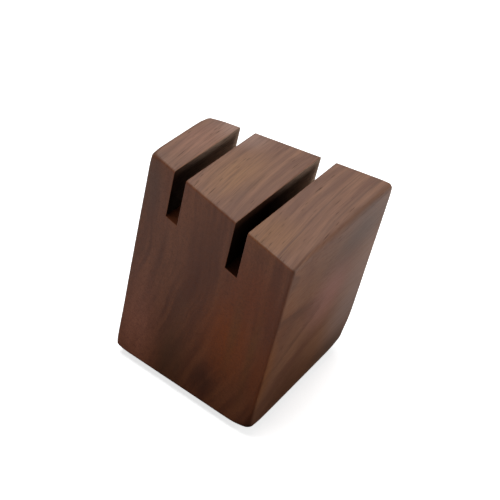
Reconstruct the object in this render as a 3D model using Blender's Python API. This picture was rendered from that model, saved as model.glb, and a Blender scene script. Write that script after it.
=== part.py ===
"""A leaning wooden pick holder: one walnut block with two slots, on four rubber feet.

The block is drawn in its own frame, which stands square to the slots: X runs across
the slots from the narrow side face to the wide one, Y runs along them, and Z is the
way the slots open. The base is cut at a slant, so the block is tilted about Y to put
that base level, and it leans towards its wide side.

The part's frame has its origin at the centre of its bounding box, on the surface that
the feet stand on. Everything is in metres, with +Z up.
"""

import math

import bmesh
import bpy
from mathutils import Matrix, Vector

# Driving dimensions of the block.
BLOCK_WIDTH = 0.050  # across the slots, between the two parallel side faces
WIDE_DEPTH = 0.050  # along the slots, at the wide side face
NARROW_DEPTH = 0.025  # along the slots, at the narrow side face
BLOCK_HEIGHT = 0.060  # square to the top face, at the middle of the width
EDGE_RADIUS = 0.0008  # the sanded rounding of every outer edge
EDGE_SEGMENTS = 4

# The slots, each cut square to the top face and right through from front to back.
SLOT_WIDTH = 0.004
SLOT_DEPTH = 0.0138
SLOT_CENTRES = (0.0109, 0.0326)  # from the narrow side face

# The feet: low self-adhesive bumpers.
FOOT_RADIUS = 0.004
FOOT_HEIGHT = 0.0018
FOOT_SOLE_RADIUS = 0.0029  # the flat that touches the table
FOOT_INSET = 0.0085  # from a foot's centre to the nearest edges of the base
FOOT_SIDES = 32
FOOT_ROUNDING_STEPS = 5
CONTACT_GAP = 0.0003  # left between a foot and the base it sticks to

# One saw setting makes all three slanting cuts: the front, the back and the base.
SLANT = math.atan2((WIDE_DEPTH - NARROW_DEPTH) / 2, BLOCK_WIDTH)

CUTTER_MARGIN = 0.010  # how far a slot cutter runs past the block
COPLANAR_ANGLE = math.radians(1)  # triangles closer than this to flat become one face


def half_depth(x):
    """Half the block's length along the slots, x from the narrow side face."""
    return NARROW_DEPTH / 2 + x * math.tan(SLANT)


def base_height(x):
    """The slanted base's height in the block's own frame, x from the narrow side."""
    return (x - BLOCK_WIDTH / 2) * math.tan(SLANT)


def tilted(x, z):
    """Where a point of the block's own XZ plane lands once the base is level."""
    turned = Matrix.Rotation(SLANT, 3, "Y") @ Vector((x, 0, z))
    return Vector((turned.x, turned.z))


def base_corner_arc_centre():
    """Centre of the rounding between the narrow side face and the base, in XZ."""
    rise = EDGE_RADIUS * (1 / math.cos(SLANT) + math.tan(SLANT))
    return tilted(EDGE_RADIUS, base_height(0) + rise)


def top_corner_arc_centre():
    """Centre of the rounding between the wide side face and the top, in XZ."""
    return tilted(BLOCK_WIDTH - EDGE_RADIUS, BLOCK_HEIGHT - EDGE_RADIUS)


# Moves the tilted block so that its box is centred and its base is above the feet.
LEFT_REACH = base_corner_arc_centre().x - EDGE_RADIUS
RIGHT_REACH = top_corner_arc_centre().x + EDGE_RADIUS
BLOCK_X = -(LEFT_REACH + RIGHT_REACH) / 2
BASE_Z = FOOT_HEIGHT + CONTACT_GAP
BLOCK_Z = BASE_Z - tilted(0, base_height(0)).y


def clear_scene():
    for obj in list(bpy.data.objects):
        bpy.data.objects.remove(obj, do_unlink=True)


def material(name, colour, roughness):
    made = bpy.data.materials.new(name)
    made.use_nodes = True
    shader = made.node_tree.nodes["Principled BSDF"]
    shader.inputs["Base Color"].default_value = (*colour, 1)
    shader.inputs["Roughness"].default_value = roughness
    shader.inputs["Metallic"].default_value = 0
    return made


def object_from(name, shape, surface=None):
    mesh = bpy.data.meshes.new(name)
    bmesh.ops.recalc_face_normals(shape, faces=shape.faces)
    shape.to_mesh(mesh)
    shape.free()
    made = bpy.data.objects.new(name, mesh)
    bpy.context.collection.objects.link(made)
    if surface:
        mesh.materials.append(surface)
    return made


def block_shape():
    """The sawn block with sharp edges: an isosceles trapezium in plan."""
    shape = bmesh.new()
    for x in (0, BLOCK_WIDTH):
        for y in (-half_depth(x), half_depth(x)):
            for z in (base_height(x), BLOCK_HEIGHT):
                shape.verts.new((x, y, z))
    bmesh.ops.convex_hull(shape, input=shape.verts)
    bmesh.ops.dissolve_limit(
        shape, angle_limit=COPLANAR_ANGLE, verts=shape.verts, edges=shape.edges
    )
    return shape


def slot_cutter(centre):
    """A bar that runs past the front, the back and the top of the block."""
    shape = bmesh.new()
    length = WIDE_DEPTH + 2 * CUTTER_MARGIN
    height = SLOT_DEPTH + CUTTER_MARGIN
    middle = BLOCK_HEIGHT - SLOT_DEPTH + height / 2
    bmesh.ops.create_cube(shape, size=1)
    bmesh.ops.scale(shape, vec=(SLOT_WIDTH, length, height), verts=shape.verts)
    bmesh.ops.translate(shape, vec=(centre, 0, middle), verts=shape.verts)
    return shape


def make_block():
    walnut = material("walnut", (0.17, 0.09, 0.06), 0.55)
    block = object_from("walnut_block", block_shape(), walnut)
    block.rotation_euler = (0, SLANT, 0)
    block.location = (BLOCK_X, 0, BLOCK_Z)

    rounding = block.modifiers.new("sanded_edges", "BEVEL")
    rounding.width = EDGE_RADIUS
    rounding.segments = EDGE_SEGMENTS
    rounding.limit_method = "NONE"

    for number, centre in enumerate(SLOT_CENTRES, start=1):
        cutter = object_from(f"slot_cutter_{number}", slot_cutter(centre))
        cutter.parent = block
        cutter.hide_render = True
        cutter.display_type = "WIRE"
        cut = block.modifiers.new(f"slot_{number}", "BOOLEAN")
        cut.operation = "DIFFERENCE"
        cut.object = cutter
        cut.solver = "EXACT"


def foot_shape():
    """A low button: flat top and sole, straight side, and a rounded lower rim."""
    rim = FOOT_RADIUS - FOOT_SOLE_RADIUS
    profile = [(0, FOOT_HEIGHT), (FOOT_RADIUS, FOOT_HEIGHT)]
    for step in range(FOOT_ROUNDING_STEPS + 1):
        angle = math.pi / 2 * step / FOOT_ROUNDING_STEPS
        across = FOOT_SOLE_RADIUS + rim * math.cos(angle)
        profile.append((across, rim - rim * math.sin(angle)))
    profile.append((0, 0))

    shape = bmesh.new()
    line = [shape.verts.new((x, 0, z)) for x, z in profile]
    for start, end in zip(line, line[1:]):
        shape.edges.new((start, end))
    bmesh.ops.spin(
        shape,
        geom=shape.verts[:] + shape.edges[:],
        axis=(0, 0, 1),
        angle=math.tau,
        steps=FOOT_SIDES,
    )
    bmesh.ops.remove_doubles(shape, verts=shape.verts, dist=1e-6)
    return shape


def foot_places():
    """Each foot's name and centre: two near the narrow side, two near the wide."""
    for end, x in (("narrow", FOOT_INSET), ("wide", BLOCK_WIDTH - FOOT_INSET)):
        across = half_depth(x) - FOOT_INSET
        centre = tilted(x, base_height(x)).x + BLOCK_X
        yield f"foot_front_{end}", centre, -across
        yield f"foot_back_{end}", centre, across


def make_feet():
    rubber = material("foot_rubber", (0.02, 0.02, 0.02), 0.7)
    for name, x, y in foot_places():
        foot = object_from(name, foot_shape(), rubber)
        foot.location = (x, y, 0)
        foot.data.shade_smooth()
        foot.data.set_sharp_from_angle(angle=math.radians(40))


clear_scene()
make_block()
make_feet()
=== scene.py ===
"""The looks of a leaning walnut pick holder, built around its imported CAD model.

Lengths are in metres, except that the materials' places and sizes are in millimetres.
The block is drawn in its own frame, square to its slots: X runs across the slots
from the narrow side face, Y runs along them, and Z is the way they open.
"""

import math

import bpy
import numpy as np
from mathutils import Matrix, Vector, noise


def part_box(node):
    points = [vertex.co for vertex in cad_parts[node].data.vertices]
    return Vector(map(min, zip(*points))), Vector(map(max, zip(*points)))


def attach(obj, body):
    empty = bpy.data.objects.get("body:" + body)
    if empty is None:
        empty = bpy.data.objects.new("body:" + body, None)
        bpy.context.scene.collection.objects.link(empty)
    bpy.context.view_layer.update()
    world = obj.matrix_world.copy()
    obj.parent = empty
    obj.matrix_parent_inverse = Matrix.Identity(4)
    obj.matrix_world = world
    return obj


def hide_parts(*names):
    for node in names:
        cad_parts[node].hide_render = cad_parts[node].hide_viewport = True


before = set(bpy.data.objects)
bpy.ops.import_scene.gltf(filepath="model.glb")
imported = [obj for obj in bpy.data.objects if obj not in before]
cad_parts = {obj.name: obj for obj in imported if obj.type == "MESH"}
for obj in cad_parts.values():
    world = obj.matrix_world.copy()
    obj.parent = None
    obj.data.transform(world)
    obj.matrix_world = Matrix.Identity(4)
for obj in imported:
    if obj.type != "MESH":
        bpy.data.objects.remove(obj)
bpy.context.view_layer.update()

MM = 0.001

# The block, as the CAD model has it.
BLOCK_WIDTH = 50 * MM
WIDE_DEPTH = 50 * MM
NARROW_DEPTH = 25 * MM
BLOCK_HEIGHT = 60 * MM
SLOT_WIDTH = 4 * MM
SLOT_DEPTH = 13.8 * MM
SLOT_CENTRES = (10.9 * MM, 32.6 * MM)
SLOT_FLOOR = BLOCK_HEIGHT - SLOT_DEPTH
CAD_EDGE_RADIUS = 0.8 * MM
SLANT = math.atan2((WIDE_DEPTH - NARROW_DEPTH) / 2, BLOCK_WIDTH)

# Hand-sanded rounding: even along the edges, and softer along the top edge of the wide
# side and where a corner was knocked off.
EDGE_RADIUS = 0.7 * MM
WIDE_TOP_EDGE_RADIUS = 1.3 * MM
WIDE_TOP_EDGE_REACH = 3 * MM  # how far its softness spreads over both faces
WIDE_TOP_EDGE_FADE = 4 * MM  # how far from its ends it sets in
SLOT_EDGE_RADIUS = 0.25 * MM
CORNER_RADII = {  # keyed by (side, end, level)
    ("narrow", "front", "top"): 1.5 * MM,
    ("narrow", "back", "top"): 1.7 * MM,
    ("wide", "front", "top"): 0.8 * MM,
    ("wide", "back", "top"): 1.3 * MM,
    ("narrow", "front", "base"): 1.5 * MM,
    ("narrow", "back", "base"): 1.8 * MM,
    ("wide", "front", "base"): 2.4 * MM,
    ("wide", "back", "base"): 3.3 * MM,
}
CORNER_REACH = 1.6  # how far a corner's softness runs along its edges, in its radii
WAVINESS = 0.05 * MM  # how far the sanded faces stray from flat
WAVE_LENGTH = 17 * MM
WAVE_INSET = 0.5  # keeps the waves mostly below the flat face, in their own height

# Mesh spacing: fine beside every edge, and coarser with the distance from it.
FINE_STEP = 0.12 * MM
STEP_GROWTH = 0.22
COARSE_STEP = 2.0 * MM
RULER_POINTS = 2001  # places at which the spacing is added up
CORE_ROUNDS = 60  # passes that settle the nearest point of the block's core
CREASE_ANGLE = math.radians(50)  # steeper folds than this are shaded as creases

# The feet: self-adhesive rubber buttons, each on its own film.
FEET = ("foot_front_narrow", "foot_back_narrow", "foot_front_wide", "foot_back_wide")
FOOT_RADIUS = 4 * MM
FOOT_HEIGHT = 1.8 * MM
FOOT_SOLE_RADIUS = 2.9 * MM
FOOT_TOP_EASE = 0.15 * MM
FOOT_RIM_STEPS = 10
FOOT_SIDES = 64
FILM_INSET = 0.1 * MM

# The stage.
FLOOR_SIZE = 6.0
FLOOR_GAP = 0.05 * MM
# painted shade: the floor bounces less light close to the block
FLOOR_NEAR = (0.06, 0.055, 0.05)  # what it bounces close to the block, in linear RGB
FLOOR_FAR = (0.78, 0.78, 0.78)
BOUNCE_RISE = (0.03, 0.11)  # distances from the centre between which that changes
FLOOR_GLOW = (0.7, 1.0)  # how white it is made for the camera, near and far
GLOW_RISE = (0.12, 0.5)
FLOOR_ROUGHNESS = 0.9
WORLD_LIGHT = 0.08  # the strength of the white all round that lights the block

# Tolerances, in metres.
ON_PLANE = 1e-7  # two places closer than this are the same
TINY = 1e-9  # stands in for a length of nought where one is divided by
BURIED = -1.0  # the depth of a point in the core, which no edge can reach

# The camera, as angles in degrees round the point it looks at, and a distance from it.
CAMERA_AIM = Vector((2.1, 3.4, 35.9)) * MM
CAMERA_AZIMUTH = 32.78
CAMERA_ELEVATION = 31.19
CAMERA_DISTANCE = 322.9 * MM
CAMERA_ROLL = -0.39
CAMERA_LENS = 89.4
SENSOR_WIDTH = 36.0

# The lights: place, width and power. Each is square and aims where the camera does.
LIGHTS = {
    "key": ((-0.10, 0.46, 0.58), 0.5, 1.45),
    "overhead": ((0.0, -0.03, 0.70), 0.4, 2.5),
    "side": ((0.26, 0.14, 0.06), 0.16, 0.42),
    "fill": ((-0.20, -0.42, 0.12), 0.3, 0.30),
}


# ---------------------------------------------------------------- the block's shape


def half_depth(x):
    """Half the block's length along the slots, x from the narrow side face."""
    return NARROW_DEPTH / 2 + x * math.tan(SLANT)


def base_height(x):
    """The slanted base's height in the block's own frame, x from the narrow side."""
    return (x - BLOCK_WIDTH / 2) * math.tan(SLANT)


def block_placement():
    """Where the block's own frame stands: tilted until its base is level."""
    low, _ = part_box("walnut_block")
    tilt = Matrix.Rotation(SLANT, 4, "Y")
    base = (tilt @ Vector((0, 0, base_height(0)))).z
    rise = CAD_EDGE_RADIUS * (1 / math.cos(SLANT) + math.tan(SLANT))
    arc = tilt @ Vector((CAD_EDGE_RADIUS, 0, base_height(0) + rise))
    x = low.x - (arc.x - CAD_EDGE_RADIUS)
    return Matrix.Translation((x, 0, low.z - base)) @ tilt


PLACEMENT = block_placement()


def outer_planes():
    """The six outer faces as unit outward normals and their offsets."""
    slope = math.tan(SLANT)
    faces = [
        ((-1, 0, 0), (0, 0, 0)),
        ((1, 0, 0), (BLOCK_WIDTH, 0, 0)),
        ((-slope, -1, 0), (0, -half_depth(0), 0)),
        ((-slope, 1, 0), (0, half_depth(0), 0)),
        ((0, 0, 1), (0, 0, BLOCK_HEIGHT)),
        ((slope, 0, -1), (0, 0, base_height(0))),
    ]
    normals = np.array([np.array(n) / np.linalg.norm(n) for n, _ in faces])
    offsets = np.array([n @ np.array(p) for n, (_, p) in zip(normals, faces)])
    return normals, offsets


def steps_between(low, high):
    """Positions from low to high, fine at both ends and coarser in the middle."""
    fine = np.linspace(low, high, RULER_POINTS)
    near = np.minimum(fine - low, high - fine)
    step = np.minimum(FINE_STEP + STEP_GROWTH * near, COARSE_STEP)
    count = np.concatenate([[0], np.cumsum(np.diff(fine) / step[1:])])
    whole = max(1, round(count[-1]))
    return np.interp(np.linspace(0, count[-1], whole + 1), count, fine)


def stations(*marks):
    """Positions through every mark, fine beside each one."""
    runs = [steps_between(a, b)[:-1] for a, b in zip(marks, marks[1:])]
    return np.concatenate([*runs, [marks[-1]]])


def slot_walls():
    """Each slot's two walls, as places across the block."""
    half = SLOT_WIDTH / 2
    return [(centre - half, centre + half) for centre in SLOT_CENTRES]


def lattice():
    """Grid lines through the block, as points[i, j, k], and which cells are wood."""
    walls = [x for pair in slot_walls() for x in pair]
    xs = stations(0, *walls, BLOCK_WIDTH)
    half_width = BLOCK_WIDTH / 2
    sides = stations(-half_width, half_width) / half_width
    shoulder = SLOT_FLOOR - SLOT_DEPTH / 2
    below = stations(0, shoulder)[:-1] / shoulder
    mirrored = steps_between(2 * shoulder - SLOT_FLOOR, SLOT_FLOOR)
    to_floor = mirrored[mirrored > shoulder]
    to_top = stations(SLOT_FLOOR, BLOCK_HEIGHT)[1:]
    above = np.concatenate([[shoulder], to_floor, to_top])

    points = np.zeros((len(xs), len(sides), len(below) + len(above), 3))
    for i, x in enumerate(xs):
        base = base_height(x)
        levels = np.concatenate([base + below * (shoulder - base), above])
        points[i, :, :, 0] = x
        points[i, :, :, 1] = (sides * half_depth(x))[:, None]
        points[i, :, :, 2] = levels[None, :]

    middle_x = (xs[1:] + xs[:-1]) / 2
    levels = points[0, 0, :, 2]
    middle_z = (levels[1:] + levels[:-1]) / 2
    wood = np.ones([n - 1 for n in points.shape[:3]], bool)
    for low, high in slot_walls():
        across = (middle_x > low) & (middle_x < high)
        anywhere = np.ones(wood.shape[1], bool)
        wood[np.ix_(across, anywhere, middle_z > SLOT_FLOOR)] = False
    return points, wood


def skin(points, wood):
    """The quads between wood and air, with their corners in outward order."""
    number = np.arange(points[..., 0].size).reshape(points.shape[:3])
    padded = np.pad(wood, 1)
    quads = []
    for axis in range(3):
        ahead = np.roll(padded, -1, axis)
        for outward in (1, -1):
            edge = (padded & ~ahead) if outward == 1 else (~padded & ahead)
            cells = np.argwhere(edge) - 1
            u, v = (axis + 1) % 3, (axis + 2) % 3
            corner = cells.copy()
            corner[:, axis] += 1
            ring = []
            for du, dv in ((0, 0), (1, 0), (1, 1), (0, 1)):
                c = corner.copy()
                c[:, u] += du
                c[:, v] += dv
                ring.append(number[c[:, 0], c[:, 1], c[:, 2]])
            quad = np.stack(ring, 1)
            quads.append(quad if outward == 1 else quad[:, ::-1])
    quads = np.concatenate(quads)
    used, compact = np.unique(quads, return_inverse=True)
    return points.reshape(-1, 3)[used], compact.reshape(quads.shape)


def bell(distance, reach):
    """1 at no distance, falling smoothly to nothing a few reaches away."""
    return np.exp(-((distance / reach) ** 2))


def edge_softness(points):
    """The rounding radius at each point, larger where the sanding was heavier."""
    radius = np.full(len(points), EDGE_RADIUS)
    for (side, end, level), soft in CORNER_RADII.items():
        x = BLOCK_WIDTH if side == "wide" else 0
        y = half_depth(x) if end == "back" else -half_depth(x)
        z = BLOCK_HEIGHT if level == "top" else base_height(x)
        distance = np.linalg.norm(points - (x, y, z), axis=1)
        radius += (soft - EDGE_RADIUS) * bell(distance, CORNER_REACH * soft)
    extra = WIDE_TOP_EDGE_RADIUS - EDGE_RADIUS
    distance = np.hypot(points[:, 0] - BLOCK_WIDTH, points[:, 2] - BLOCK_HEIGHT)
    inward = half_depth(BLOCK_WIDTH) - np.abs(points[:, 1])
    away_from_ends = 1 - bell(inward, WIDE_TOP_EDGE_FADE)
    radius += extra * away_from_ends * bell(distance, WIDE_TOP_EDGE_REACH)
    return radius


def core_points(points, radius):
    """The nearest point of the block's core, which lies one radius inside each face."""
    normals, offsets = outer_planes()
    nearest = points.copy()
    kept = np.zeros((len(normals), *points.shape))
    for _ in range(CORE_ROUNDS):
        for n, (normal, offset) in enumerate(zip(normals, offsets)):
            moved = nearest + kept[n]
            over = np.maximum(moved @ normal - (offset - radius), 0)
            nearest = moved - over[:, None] * normal
            kept[n] = moved - nearest
    return nearest


def ease(points, outward, depth, wall, normal, where):
    """Rounds the edge between the outer skin and a slot's wall or floor."""
    across = wall + SLOT_EDGE_RADIUS
    down = depth + SLOT_EDGE_RADIUS
    length = np.hypot(across, down)
    near = where & (across > 0) & (down > 0) & (length > SLOT_EDGE_RADIUS)
    shrink = np.where(near, SLOT_EDGE_RADIUS / np.maximum(length, TINY) - 1, 0)
    points += (across * shrink)[:, None] * np.array(normal)
    points += (down * shrink)[:, None] * outward


def sanded(points):
    """Moves sharp corners onto rounded ones, then gives the faces a slight wave."""
    radius = edge_softness(points)
    core = core_points(points, radius)
    away = points - core
    distance = np.linalg.norm(away, axis=1)
    outward = away / np.maximum(distance, TINY)[:, None]
    outside = distance > radius
    made = np.where(outside[:, None], core + outward * radius[:, None], points)

    x, z = points[:, 0], points[:, 2]
    above_floor = z > SLOT_FLOOR - ON_PLANE
    for wall in np.ravel(slot_walls()):
        on_wall = above_floor & (np.abs(x - wall) < ON_PLANE)
        made[on_wall, 0] = x[on_wall]

    depth = np.where(distance > ON_PLANE, np.minimum(distance - radius, 0), BURIED)
    for low, high in slot_walls():
        left = above_floor & (x <= low + ON_PLANE)
        right = above_floor & (x >= high - ON_PLANE)
        between = (x >= low - ON_PLANE) & (x <= high + ON_PLANE)
        under = between & (z <= SLOT_FLOOR + ON_PLANE)
        ease(made, outward, depth, x - low, (1, 0, 0), left)
        ease(made, outward, depth, high - x, (-1, 0, 0), right)
        ease(made, outward, depth, z - SLOT_FLOOR, (0, 0, 1), under)

    for n in np.flatnonzero(distance > radius - ON_PLANE):
        wave = noise.noise(Vector(made[n] / WAVE_LENGTH))
        made[n] += outward[n] * WAVINESS * (wave - WAVE_INSET)
    return made


def smooth_mesh(name, points, faces, surface):
    mesh = bpy.data.meshes.new(name)
    mesh.from_pydata(points, [], faces)
    mesh.materials.append(surface)
    mesh.shade_smooth()
    mesh.set_sharp_from_angle(angle=CREASE_ANGLE)
    return mesh


def in_scene(name, data):
    """A new object that shows this mesh, light or camera."""
    made = bpy.data.objects.new(name, data)
    bpy.context.scene.collection.objects.link(made)
    return made


def inside_slots(middles):
    """Which of these places lie on a slot's wall or floor, before any rounding."""
    found = np.zeros(len(middles), bool)
    for low, high in slot_walls():
        across = (middles[:, 0] > low - ON_PLANE) & (middles[:, 0] < high + ON_PLANE)
        found |= across & (middles[:, 2] > SLOT_FLOOR - ON_PLANE)
    return found


def make_block(walnut, slot_walnut):
    points, quads = skin(*lattice())
    # the slot faces, which take the slot material with its painted shade and light
    slot_faces_in_painted_shade = inside_slots(points[quads].mean(1))
    rotation = np.array(PLACEMENT.to_3x3())
    points = sanded(points) @ rotation.T + np.array(PLACEMENT.translation)
    name = "walnut_block_sanded"
    mesh = smooth_mesh(name, points.tolist(), quads.tolist(), walnut)
    mesh.materials.append(slot_walnut)
    mesh.polygons.foreach_set("material_index", slot_faces_in_painted_shade.astype(np.int32))
    block = in_scene(name, mesh)
    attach(block, "root")
    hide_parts("walnut_block")


def turned(name, profile, surface):
    """A mesh turned about Z from its profile of (radius, height), from axis to axis."""
    angles = np.arange(FOOT_SIDES) * math.tau / FOOT_SIDES
    circle = np.stack([np.cos(angles), np.sin(angles)], 1)
    points = [(0.0, 0.0, profile[0][1])]
    for radius, height in profile[1:-1]:
        points += [(radius * x, radius * y, height) for x, y in circle]
    points.append((0.0, 0.0, profile[-1][1]))

    ring_starts = range(1, len(points) - 1, FOOT_SIDES)
    last = len(points) - 1
    faces = []
    for n in range(FOOT_SIDES):
        m = (n + 1) % FOOT_SIDES
        faces.append((0, 1 + n, 1 + m))
        for upper, lower in zip(ring_starts, ring_starts[1:]):
            faces.append((upper + n, lower + n, lower + m, upper + m))
        faces.append((last, ring_starts[-1] + m, ring_starts[-1] + n))
    return smooth_mesh(name, points, faces, surface)


def button_profile():
    """A foot from its top down: eased edge, straight side, round rim and flat sole."""
    rim = FOOT_RADIUS - FOOT_SOLE_RADIUS
    profile = [(0, FOOT_HEIGHT), (FOOT_RADIUS - FOOT_TOP_EASE, FOOT_HEIGHT)]
    profile.append((FOOT_RADIUS, FOOT_HEIGHT - FOOT_TOP_EASE))
    for step in range(FOOT_RIM_STEPS + 1):
        angle = math.pi / 2 * step / FOOT_RIM_STEPS
        across = FOOT_SOLE_RADIUS + rim * math.cos(angle)
        profile.append((across, rim - rim * math.sin(angle)))
    profile.append((0, 0))
    return profile


def film_profile(thickness):
    """The adhesive film between a foot and the block."""
    radius = FOOT_RADIUS - FILM_INSET
    return [(0, thickness), (radius, thickness), (radius, 0), (0, 0)]


def make_feet(rubber, adhesive):
    block_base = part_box("walnut_block")[0].z
    for node in FEET:
        low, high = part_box(node)
        centre = (low + high) / 2
        film_gap = block_base - high.z
        pieces = {
            f"{node}_button": (button_profile(), low.z, rubber),
            f"{node}_film": (film_profile(film_gap), high.z, adhesive),
        }
        for name, (profile, level, surface) in pieces.items():
            mesh = turned(name, profile, surface)
            mesh.transform(Matrix.Translation((centre.x, centre.y, level)))
            piece = in_scene(name, mesh)
            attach(piece, "root")
            if surface is rubber:
                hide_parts(node)


# ---------------------------------------------------------------- materials


class Nodes:
    """Short calls for building a shader from maths and textures."""

    def __init__(self, name):
        self.material = bpy.data.materials.new(name)
        self.material.use_nodes = True
        self.tree = self.material.node_tree
        self.shader = self.tree.nodes["Principled BSDF"]

    def node(self, kind, **settings):
        made = self.tree.nodes.new(kind)
        for key, value in settings.items():
            setattr(made, key, value)
        return made

    def feed(self, socket, value):
        if isinstance(value, bpy.types.NodeSocket):
            self.tree.links.new(value, socket)
        else:
            socket.default_value = value

    def math(self, operation, a, b=0.0, clamp=False):
        made = self.node("ShaderNodeMath", operation=operation, use_clamp=clamp)
        for socket, value in zip(made.inputs, (a, b)):
            self.feed(socket, value)
        return made.outputs[0]

    def vector(self, operation, a, b=(0, 0, 0)):
        made = self.node("ShaderNodeVectorMath", operation=operation)
        self.feed(made.inputs[0], a)
        self.feed(made.inputs["Scale" if operation == "SCALE" else 1], b)
        return made.outputs["Value" if operation == "LENGTH" else "Vector"]

    def split(self, vector):
        made = self.node("ShaderNodeSeparateXYZ")
        self.feed(made.inputs[0], vector)
        return made.outputs

    def join(self, x, y, z):
        made = self.node("ShaderNodeCombineXYZ")
        for socket, value in zip(made.inputs, (x, y, z)):
            self.feed(socket, value)
        return made.outputs[0]

    def noise(self, vector, scale=1.0, detail=2.0, roughness=0.5):
        made = self.node("ShaderNodeTexNoise")
        self.feed(made.inputs["Vector"], vector)
        made.inputs["Scale"].default_value = scale
        made.inputs["Detail"].default_value = detail
        made.inputs["Roughness"].default_value = roughness
        return made.outputs["Fac"]

    def between(self, low, high, factor):
        """low where the factor is 0, and high where it is 1."""
        return self.math("ADD", low, self.math("MULTIPLY", factor, high - low))

    def ramp(self, value, low, high):
        """0 below low and 1 above high, with a smooth rise."""
        made = self.node("ShaderNodeMapRange", interpolation_type="SMOOTHSTEP")
        self.feed(made.inputs["Value"], value)
        made.inputs["From Min"].default_value = low
        made.inputs["From Max"].default_value = high
        return made.outputs["Result"]

    def normal(self):
        return self.split(self.node("ShaderNodeNewGeometry").outputs["Normal"])

    def object_place(self):
        return self.node("ShaderNodeTexCoord").outputs["Object"]

    def blend(self, factor, a, b, mode="MIX"):
        made = self.node("ShaderNodeMix", data_type="RGBA", blend_type=mode)
        self.feed(made.inputs["Factor"], factor)
        sockets = [s for s in made.inputs if s.type == "RGBA"]
        for socket, value in zip(sockets, (a, b)):
            self.feed(socket, (*value, 1) if isinstance(value, tuple) else value)
        return [s for s in made.outputs if s.type == "RGBA"][0]


# The log that the block was sawn from. Its pith runs along the slots, far outside the
# block on the narrow side, so the side faces are flat sawn, the top is close to
# quarter sawn, and the front and the back show end grain. All in the block's own mm.
PITH = (-96.0, 0.0, 44.0)
RING_WIDTH = 5.6
RING_UNEVENNESS = 2.2  # how far the ring count strays from an even one, in rings
UNEVENNESS_SIZE = 7  # the distance over which it does, in mm
GRAIN_SLOPE = 0.10  # how far the grain swings to the wide side at the front, per mm
GRAIN_TURN = 5.0  # the length over which it starts to, in mm
LINE_STARTS, LINE_PEAKS = 0.80, 0.97  # a ring's dark line, as shares of the ring

# The sizes of the figure, in mm: across the grain, along it, and up.
BAND_SIZE = (2.6, 60, 30)
LINE_FADING_SIZE = (5, 30, 14)
STREAK_SIZE = (2.5, 25, 16)

# The part of each noise's range over which its mark goes from absent to full.
BAND_RANGE = (0.32, 0.70)
LINE_FADING_RANGE = (0.35, 0.65)
COARSE_RANGE = (0.42, 0.78)
FINE_RANGE = (0.42, 0.74)

# A face turns into end grain, or into a side face, as its unit normal's part along Y,
# or along X, grows between these sizes.
END_GRAIN_FACING = (0.5, 0.85)
SIDE_FACING = (0.4, 0.85)

# Colours of the wood, as linear RGB.
RED_BROWN = (0.160, 0.064, 0.034)
TAN = (0.258, 0.118, 0.061)
DARK_BROWN = (0.090, 0.036, 0.021)
FIBRE_BROWN = (0.100, 0.043, 0.026)
PORE_BROWN = (0.040, 0.017, 0.010)
END_GRAIN_TINT = (0.88, 0.61, 0.45)

# How strongly each mark shows, from 0 to 1. The pairs are for end and long grain.
LINE_STRENGTH = (0.15, 0.60)
PORE_STRENGTH = (0.25, 0.70)
COARSE_STRENGTH = 0.28
FINE_STRENGTH = 0.50
SIDE_FACE_FIGURE = 0.3  # the share of the fibres and pores that the side faces show
LEAST_STREAK = 0.45  # added to the noise that makes the patches streaky

# The oiled finish.
WALNUT_ROUGHNESS = (0.44, 0.54)  # between the fibres and on them
WORN_ROUGHNESS = 0.35  # added on the worn edge
PORE_ROUGHNESS = 0.2  # added in the pores
WALNUT_SPECULAR = 0.35
FIBRE_RELIEF = 0.3  # how deep the fibres are, as a share of the pores' depth

# The slots' walls and floors, near black with painted shade, and paler towards the open
# back end and browner at the mouth with painted light: colours as linear RGB, and how
# much they show.
SLOT_SHADE_BLACK = (0.012, 0.004, 0.002)
PALE_WALL = (0.60, 0.42, 0.31)
RED_FLOOR = (0.12, 0.035, 0.015)
# painted light on the walls near the mouth
BROWN_MOUTH = (0.075, 0.034, 0.022)
SAW_MARK = (0.014, 0.005, 0.003)
MOUTH_STRENGTH = 0.5
SAW_MARK_STRENGTH = 0.35
# painted light at the back end of the walls, weaker on those facing the narrow side
BACK_WALL_PALENESS = (0.45, 1.0)  # of the walls facing the narrow and the wide side
# painted light on the slot floors; where it is absent the floor is in painted shade
FLOOR_REDNESS = (0.6, 0.06)  # at the front of the narrow and of the wide slot
BACK_FLOOR_REDNESS = 0.7
SLOT_WALL_ROUGHNESS = 0.8

# Where those change, in mm.
BACK_END = (-20, 4)  # along a slot at the narrow side face
BACK_END_SKEW = 0.45  # how much further back it is, per mm across from there
FLOOR_BAND = (0.1, 0.5)  # heights above the floor
MOUTH_START = 50  # a height in the block
BETWEEN_SLOTS = (15, 28)  # places across the block
SAW_MARK_COUNT = (0.2, 0.33, 2.8)  # per mm across, along and up
SAW_MARK_RANGE = (0.4, 0.7)  # the part of their noise's range over which they darken

# The feet's rubber and its adhesive film, with colours as linear RGB.
RUBBER_BLACK = (0.014, 0.014, 0.014)
RUBBER_DUST = (0.034, 0.033, 0.031)
RUBBER_ROUGHNESS = (0.62, 0.82)
ADHESIVE_GREYS = ((0.20, 0.19, 0.17), (0.34, 0.33, 0.31))
ADHESIVE_ROUGHNESS = 0.35

# The most handled edge: darker with painted shade that damps a highlight there, and more
# matte than the rest: centre and radii.
EDGE_SHADE_AND_MATTE = ((50.5, 0, 60.5), (2.8, 70, 2.8))
PATCH_CORE = 0.1  # the share of a patch's radii within which it's at its strongest
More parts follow.
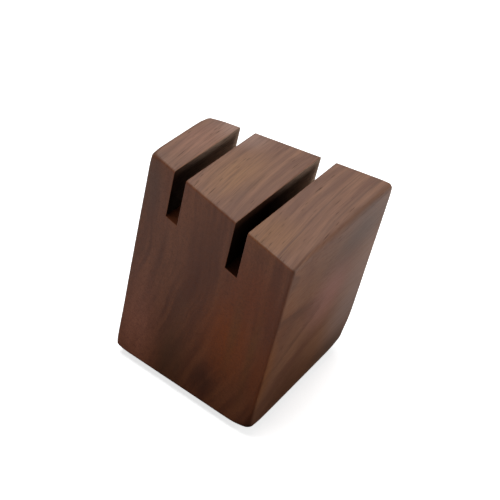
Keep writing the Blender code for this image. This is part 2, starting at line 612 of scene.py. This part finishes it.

# Patches of other colour: tones that the heartwood has, and painted light, shade and
# sheen where their names say so: centre, radii, colour and strength.
PATCHES = {
    "amber_beside_wide_slot": ((37, -21, 28), (14, 8, 20), (0.310, 0.095, 0.012), 0.9),
    "amber_at_front_edge": ((49, -25, 26), (6, 6, 18), (0.250, 0.082, 0.018), 0.70),
    "olive_amber_streak_inner": ((38, -22, 34), (2.5, 7, 24), (0.210, 0.108, 0.034), 0.6),
    "olive_amber_streak_outer": ((44.5, -24, 30), (2, 7, 26), (0.200, 0.100, 0.030), 0.6),
    "amber_under_wide_tongue": ((41, -22, 45), (14, 8, 14), (0.240, 0.070, 0.014), 0.7),
    # painted sheen towards the back of the top
    "painted_sheen_back_of_top": ((10, 13, 60), (12, 10, 5), (0.390, 0.245, 0.190), 0.6),
    "brown_below_middle_tongue": ((23, -18, 42), (9, 6, 22), (0.120, 0.038, 0.014), 0.65),
    # painted shade low in the middle of the front
    "painted_shade_low_on_front": ((32, -20, 8), (7, 7, 9), (0.060, 0.028, 0.019), 0.55),
    "olive_streak_low": ((20, -17, 5), (10, 6, 20), (0.130, 0.080, 0.048), 0.7),
    "olive_streak_high": ((20, -17, 24), (4, 5, 9), (0.150, 0.086, 0.054), 0.35),
    # painted light low on the front's narrow corner, in a rosy tone
    "painted_light_low_corner": ((7, -13, 1), (14, 7, 36), (0.400, 0.200, 0.152), 0.95),
    # painted sheen, grey, high on the front's narrow corner
    "painted_sheen_high_corner": ((2, -13, 52), (7, 6, 14), (0.130, 0.088, 0.075), 0.6),
    "tan_on_middle_tongue": ((20, -3, 60), (9, 17, 5), (0.300, 0.138, 0.050), 0.7),
    "tan_on_wide_tongue": ((39, -18, 60), (10, 13, 5), (0.262, 0.112, 0.034), 0.65),
    "tan_on_narrow_tongue": ((5, 2, 60), (6, 14, 5), (0.340, 0.155, 0.095), 0.7),
    # the wood's rosy tone mixed with painted sheen in the middle of the side face
    "rosy_tone_and_sheen_on_side": ((50, 2, 37), (6, 16, 15), (0.300, 0.135, 0.105), 0.8),
    # painted shade along the wide side's top edge, damping a highlight there
    "painted_shade_along_wide_top_edge": (*EDGE_SHADE_AND_MATTE, (0.050, 0.022, 0.014), 0.5),
    # painted shade, olive grey, high on the side face
    "painted_shade_high_on_side": ((53, 15, 52), (7, 35, 19), (0.074, 0.048, 0.038), 0.95),
    # painted sheen, grey, towards the back of the side face
    "painted_sheen_back_of_side": ((50, 20, 22), (6, 18, 32), (0.270, 0.175, 0.145), 0.85),
    "olive_low_back_of_side": ((51, 14, 8), (5, 18, 9), (0.085, 0.055, 0.036), 0.7),
    # painted shade low on the side face, darker and browner towards the bottom
    "painted_shade_low_on_side": ((50, -6, 8), (7, 24, 18), (0.110, 0.038, 0.017), 0.85),
}


def stretched(n, p, size):
    """The place counted in a figure's own sizes."""
    return n.vector("MULTIPLY", p, tuple(1 / s for s in size))


def bent_grain(n, p):
    """The wood with its grain straightened: it swings sideways in the front half."""
    x, y, z = n.split(p)
    turn = n.math("SQRT", n.math("ADD", n.math("MULTIPLY", y, y), GRAIN_TURN**2))
    swing = n.math("MULTIPLY", n.math("SUBTRACT", turn, y), GRAIN_SLOPE / 2)
    return n.join(n.math("SUBTRACT", x, swing), y, z)


def wander(n, p, size, along, detail, reach):
    """A drift over distances of this size, of half the reach either way, in mm."""
    place = n.vector("MULTIPLY", p, (1, along, 1))
    drift = n.noise(place, scale=1 / size, detail=detail)
    return n.math("MULTIPLY", n.math("SUBTRACT", drift, 0.5), reach)


def ring_distance(n, p):
    """Distance from the pith, gently wandering."""
    across = n.vector("MULTIPLY", n.vector("SUBTRACT", p, PITH), (1, 0, 1))
    distance = n.vector("LENGTH", across)
    sway = wander(n, p, size=24, along=0.35, detail=1.0, reach=7.0)
    wobble = wander(n, p, size=6.5, along=0.12, detail=2.0, reach=1.2)
    return n.math("ADD", n.math("ADD", distance, sway), wobble)


def latewood(n, distance, p):
    """Thin dark lines where a year's growth ends, fading in and out: 1 on a line."""
    uneven = n.noise(n.join(distance, 0, 0), scale=1 / UNEVENNESS_SIZE, detail=1.0)
    count = n.math("DIVIDE", distance, RING_WIDTH)
    count = n.math("ADD", count, n.math("MULTIPLY", uneven, RING_UNEVENNESS))
    phase = n.math("FRACT", count)
    rise = n.ramp(phase, LINE_STARTS, LINE_PEAKS)
    fall = n.ramp(phase, LINE_PEAKS, 1.0)
    line = n.math("MULTIPLY", rise, n.math("SUBTRACT", 1, fall))
    fading = n.noise(stretched(n, p, LINE_FADING_SIZE), detail=1.0)
    return n.math("MULTIPLY", line, n.ramp(fading, *LINE_FADING_RANGE))


def fibres(n, p, width, length, detail):
    """Streaks along the grain, of about this width and length in mm."""
    return n.noise(stretched(n, p, (width, length, width)), detail=detail, roughness=0.6)


def pores(n, p, spacing, length, size, chance):
    """Open vessels, which are short dark lines on a long-grain face and dots on an
    end-grain one: 1 in a pore, 0 between them."""
    made = n.node("ShaderNodeTexVoronoi")
    n.feed(made.inputs["Vector"], stretched(n, p, (spacing, length, spacing)))
    made.inputs["Scale"].default_value = 1.0
    there = n.math("LESS_THAN", n.split(made.outputs["Color"])[0], chance)
    hole = n.math("SUBTRACT", 1, n.ramp(made.outputs["Distance"], size * 0.3, size))
    return n.math("MULTIPLY", hole, there)


def patch(n, p, centre, radii):
    """A soft ellipsoid of another colour in the wood: 1 at its centre, 0 outside."""
    offset = stretched(n, n.vector("SUBTRACT", p, centre), radii)
    return n.math("SUBTRACT", 1, n.ramp(n.vector("LENGTH", offset), PATCH_CORE, 1.0))


def block_coordinates(n):
    """The place in the block's own frame, in millimetres."""
    place = n.node("ShaderNodeMapping", vector_type="TEXTURE")
    place.inputs["Location"].default_value = PLACEMENT.translation
    place.inputs["Rotation"].default_value = PLACEMENT.to_euler()
    n.feed(place.inputs["Vector"], n.object_place())
    return n.vector("SCALE", place.outputs[0], 1 / MM)


def roughen(n, height, depth, strength):
    bump = n.node("ShaderNodeBump")
    bump.inputs["Strength"].default_value = strength
    bump.inputs["Distance"].default_value = depth
    n.feed(bump.inputs["Height"], height)
    n.feed(n.shader.inputs["Normal"], bump.outputs[0])


def walnut_material():
    n = Nodes("oiled_walnut")
    place = block_coordinates(n)
    p = bent_grain(n, place)
    facing_x, facing_y, _ = n.normal()
    end_grain = n.ramp(n.math("ABSOLUTE", facing_y), *END_GRAIN_FACING)
    long_grain = n.math("SUBTRACT", 1, end_grain)
    side_face = n.ramp(n.math("ABSOLUTE", facing_x), *SIDE_FACING)
    figure = n.between(1.0, SIDE_FACE_FIGURE, side_face)
    worn = patch(n, place, *EDGE_SHADE_AND_MATTE)

    distance = ring_distance(n, p)
    _, along, height = n.split(p)
    band = n.vector("DIVIDE", n.join(distance, along, height), BAND_SIZE)
    band = n.ramp(n.noise(band, detail=4.0, roughness=0.62), *BAND_RANGE)
    line = latewood(n, distance, p)
    coarse = n.ramp(fibres(n, p, width=0.9, length=26, detail=2.0), *COARSE_RANGE)
    fine = n.ramp(fibres(n, p, width=0.28, length=9, detail=3.0), *FINE_RANGE)
    long_pore = pores(n, p, spacing=0.85, length=15, size=0.2, chance=0.5)
    short_pore = pores(n, p, spacing=0.5, length=6, size=0.24, chance=0.35)
    pore = n.math("MAXIMUM", long_pore, short_pore)

    colour = n.blend(band, RED_BROWN, TAN)
    streaky = n.math("ADD", LEAST_STREAK, n.noise(stretched(n, p, STREAK_SIZE)))
    for centre, radii, shade, strength in PATCHES.values():
        amount = n.math("MULTIPLY", patch(n, place, centre, radii), strength)
        amount = n.math("MULTIPLY", amount, streaky, clamp=True)
        colour = n.blend(amount, colour, shade)
    pore_strength = n.between(*PORE_STRENGTH, long_grain)
    marks = (
        (line, n.between(*LINE_STRENGTH, long_grain), DARK_BROWN),
        (coarse, n.math("MULTIPLY", figure, COARSE_STRENGTH), FIBRE_BROWN),
        (fine, n.math("MULTIPLY", figure, FINE_STRENGTH), FIBRE_BROWN),
        (pore, n.math("MULTIPLY", figure, pore_strength), PORE_BROWN),
    )
    for mark, strength, shade in marks:
        colour = n.blend(n.math("MULTIPLY", mark, strength), colour, shade)
    dark_end = n.blend(1.0, colour, END_GRAIN_TINT, "MULTIPLY")
    n.feed(n.shader.inputs["Base Color"], n.blend(end_grain, colour, dark_end))

    rough = n.between(*WALNUT_ROUGHNESS, fine)
    rough = n.math("ADD", rough, n.math("MULTIPLY", worn, WORN_ROUGHNESS))
    rough = n.math("ADD", rough, n.math("MULTIPLY", pore, PORE_ROUGHNESS), clamp=True)
    n.feed(n.shader.inputs["Roughness"], rough)
    n.shader.inputs["Specular IOR Level"].default_value = WALNUT_SPECULAR
    relief = n.math("SUBTRACT", n.math("MULTIPLY", fine, -FIBRE_RELIEF), pore)
    roughen(n, relief, depth=0.05 * MM, strength=0.35)
    return n.material


def slot_material():
    """Bare slot wood in painted shade: near black, and browner with painted light towards
    the back end.
    """
    n = Nodes("slot_walls_painted_shade")
    x, y, z = n.split(block_coordinates(n))
    along = n.math("SUBTRACT", y, n.math("MULTIPLY", x, BACK_END_SKEW))
    back_end = n.ramp(along, *BACK_END)
    above_floor = n.ramp(z, *(SLOT_FLOOR / MM + height for height in FLOOR_BAND))
    mouth = n.ramp(z, MOUTH_START, BLOCK_HEIGHT / MM)
    saw = n.noise(n.vector("MULTIPLY", n.join(x, y, z), SAW_MARK_COUNT))

    facing_wide_side = n.ramp(n.normal()[0], -0.5, 0.5)
    # painted light coming in at the open back end, paler on walls that face the wide side
    paleness = n.between(*BACK_WALL_PALENESS, facing_wide_side)
    paleness = n.math("MULTIPLY", back_end, paleness)
    wall_colour = n.blend(paleness, SLOT_SHADE_BLACK, PALE_WALL)
    # painted light on the floor at the front and at the back end, over painted shade
    redness = n.between(*FLOOR_REDNESS, n.ramp(x, *BETWEEN_SLOTS))
    back_redness = n.math("MULTIPLY", back_end, BACK_FLOOR_REDNESS)
    redness = n.math("MAXIMUM", redness, back_redness)
    floor_colour = n.blend(redness, SLOT_SHADE_BLACK, RED_FLOOR)
    colour = n.blend(above_floor, floor_colour, wall_colour)
    # painted light browning the walls near the mouth
    colour = n.blend(n.math("MULTIPLY", mouth, MOUTH_STRENGTH), colour, BROWN_MOUTH)
    marked = n.math("MULTIPLY", n.ramp(saw, *SAW_MARK_RANGE), SAW_MARK_STRENGTH)
    colour = n.blend(marked, colour, SAW_MARK)
    n.feed(n.shader.inputs["Base Color"], colour)
    n.shader.inputs["Roughness"].default_value = SLOT_WALL_ROUGHNESS
    n.shader.inputs["Specular IOR Level"].default_value = 0.0
    roughen(n, saw, depth=0.08 * MM, strength=0.5)
    return n.material


def rubber_material():
    n = Nodes("matte_rubber")
    p = n.vector("SCALE", n.object_place(), 1 / MM)
    grain = n.noise(p, scale=6.0, detail=3.0)
    dusty = n.ramp(n.noise(p, scale=0.8), 0.4, 0.8)
    n.feed(n.shader.inputs["Base Color"], n.blend(dusty, RUBBER_BLACK, RUBBER_DUST))
    n.feed(n.shader.inputs["Roughness"], n.between(*RUBBER_ROUGHNESS, grain))
    roughen(n, grain, depth=0.03 * MM, strength=0.4)
    return n.material


def adhesive_material():
    n = Nodes("adhesive_film")
    p = n.vector("SCALE", n.object_place(), 1 / MM)
    cloudy = n.noise(p, scale=1.5)
    n.feed(n.shader.inputs["Base Color"], n.blend(cloudy, *ADHESIVE_GREYS))
    n.shader.inputs["Roughness"].default_value = ADHESIVE_ROUGHNESS
    return n.material


# ---------------------------------------------------------------- stage, light, camera


def make_floor():
    """A white floor just below the soles. It lights the block as a table would, with
    painted shade that makes it darker close to the block, and the camera sees it white."""
    bpy.ops.mesh.primitive_plane_add(size=FLOOR_SIZE, location=(0, 0, -FLOOR_GAP))
    floor = bpy.context.object
    floor.name = "floor"
    n = Nodes("pale_floor")
    seen = n.node("ShaderNodeLightPath").outputs["Is Camera Ray"]
    away = n.vector("LENGTH", n.object_place())
    # painted shade on the floor close to the block, seen only in the light it bounces
    bounce = n.blend(n.ramp(away, *BOUNCE_RISE), FLOOR_NEAR, FLOOR_FAR)
    n.feed(n.shader.inputs["Base Color"], n.blend(seen, bounce, (1.0, 1.0, 1.0)))
    n.shader.inputs["Roughness"].default_value = FLOOR_ROUGHNESS
    n.shader.inputs["Specular IOR Level"].default_value = 0.0
    n.feed(n.shader.inputs["Emission Color"], (1, 1, 1, 1))
    glow = n.between(*FLOOR_GLOW, n.ramp(away, *GLOW_RISE))
    n.feed(n.shader.inputs["Emission Strength"], n.math("MULTIPLY", seen, glow))
    floor.data.materials.append(n.material)


def make_world():
    """White all round: bright for the camera, and a faint light on the block."""
    world = bpy.data.worlds.new("studio")
    bpy.context.scene.world = world
    world.use_nodes = True
    nodes, links = world.node_tree.nodes, world.node_tree.links
    background = nodes["Background"]
    background.inputs["Color"].default_value = (1, 1, 1, 1)
    seen = nodes.new("ShaderNodeLightPath").outputs["Is Camera Ray"]
    level = nodes.new("ShaderNodeMapRange")
    links.new(seen, level.inputs["Value"])
    level.inputs["To Min"].default_value = WORLD_LIGHT
    level.inputs["To Max"].default_value = 1.0
    links.new(level.outputs["Result"], background.inputs["Strength"])


def make_lights():
    for name, (place, width, power) in LIGHTS.items():
        data = bpy.data.lights.new(name, "AREA")
        data.shape = "SQUARE"
        data.size = width
        data.energy = power
        light = in_scene(name, data)
        light.location = place
        aim = CAMERA_AIM - light.location
        light.rotation_euler = aim.to_track_quat("-Z", "Y").to_euler()
        light.visible_camera = False


def make_camera():
    data = bpy.data.cameras.new("camera")
    data.lens = CAMERA_LENS
    data.sensor_width = SENSOR_WIDTH
    camera = in_scene("camera", data)
    azimuth, elevation = math.radians(CAMERA_AZIMUTH), math.radians(CAMERA_ELEVATION)
    flat = math.cos(elevation)
    x, y = math.sin(azimuth) * flat, -math.cos(azimuth) * flat
    back = Vector((x, y, math.sin(elevation)))
    facing = (-back).to_track_quat("-Z", "Y").to_matrix()
    roll = Matrix.Rotation(math.radians(CAMERA_ROLL), 3, "Z")
    place = Matrix.Translation(CAMERA_AIM + back * CAMERA_DISTANCE)
    camera.matrix_world = place @ (facing @ roll).to_4x4()
    bpy.context.scene.camera = camera


make_camera()
make_world()
make_lights()
make_floor()
make_block(walnut_material(), slot_material())
make_feet(rubber_material(), adhesive_material())

bpy.context.scene.view_settings.view_transform = "Standard"
